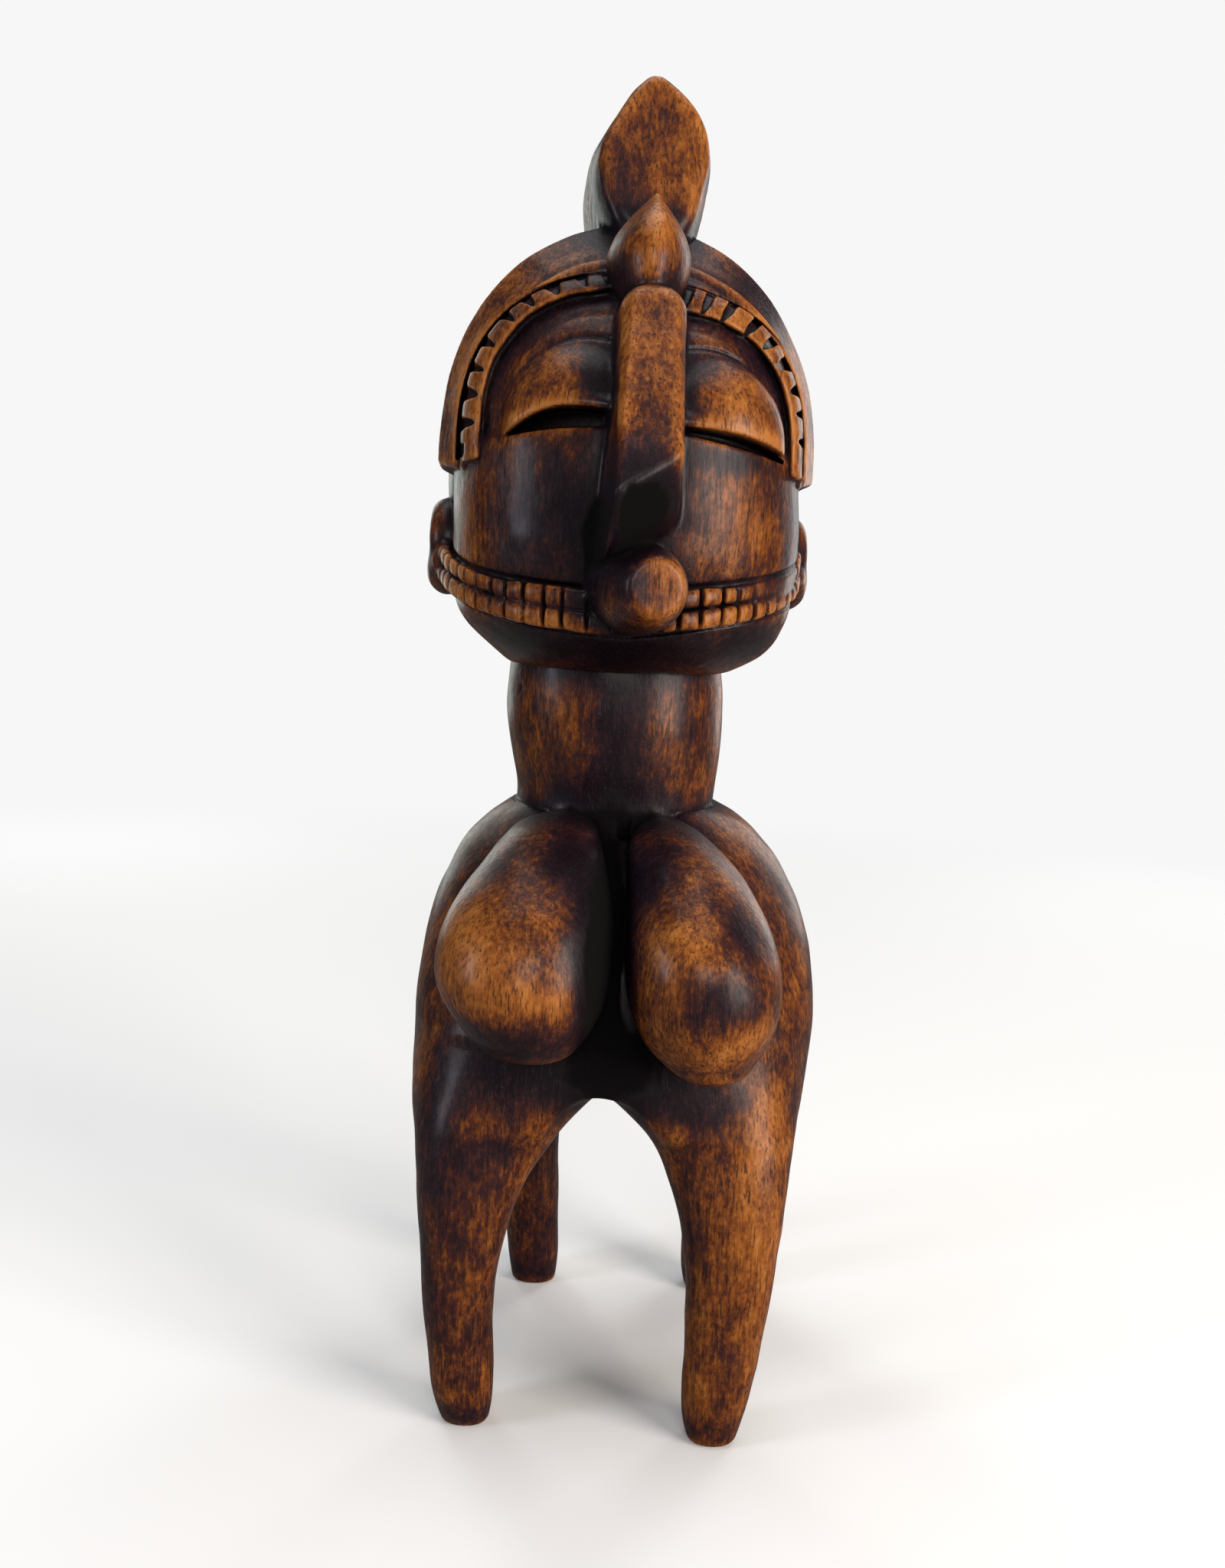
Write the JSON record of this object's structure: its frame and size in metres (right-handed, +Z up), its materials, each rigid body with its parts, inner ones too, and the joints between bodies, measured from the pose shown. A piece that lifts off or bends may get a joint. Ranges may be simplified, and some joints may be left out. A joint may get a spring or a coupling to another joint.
{
  "type": "carved wooden fertility figure",
  "caption": "One-block wooden figure: large crested head with hooked nose, notched bands and projecting mouth, barrel neck, breasts and a bell-shaped yoke on splayed, tapered legs.",
  "frame": {"origin": "bottom centre of the bounding box, on the surface the feet stand on", "axes": "+Z up through the crest, -Y the way the figure faces, +X the viewer's right when the figure is seen from the front"},
  "size_m": [0.1268, 0.1508, 0.3968],
  "materials": {
    "carved_wood": "waxed hardwood with a dark stain left in the hollows, rubbed back to orange-brown on the high parts, glossy",
    "dark_stained_wood": "the same waxed hardwood where the purple-black stain is left almost whole, glossy"
  },
  "bodies": {
    "root": {"torso": "carved_wood", "leg_front_left": "carved_wood", "leg_front_right": "carved_wood", "leg_back_left": "carved_wood", "leg_back_right": "carved_wood", "breast_left": "carved_wood", "breast_right": "carved_wood", "neck": "carved_wood", "chin": "dark_stained_wood", "face": "carved_wood", "cranium": "dark_stained_wood", "mouth": "carved_wood", "nose": "carved_wood", "forehead_knob": "carved_wood", "crest": "carved_wood", "headdress_rim_left": "dark_stained_wood", "headdress_rim_right": "dark_stained_wood", "hair_band_left": "carved_wood", "hair_band_right": "carved_wood", "eyelid_left": "carved_wood", "eyelid_right": "carved_wood", "ear_left": "dark_stained_wood", "ear_right": "dark_stained_wood", "jaw_row_upper_left": "carved_wood", "jaw_row_lower_left": "carved_wood", "jaw_row_upper_right": "carved_wood", "jaw_row_lower_right": "carved_wood"}
  },
  "joints": []
}
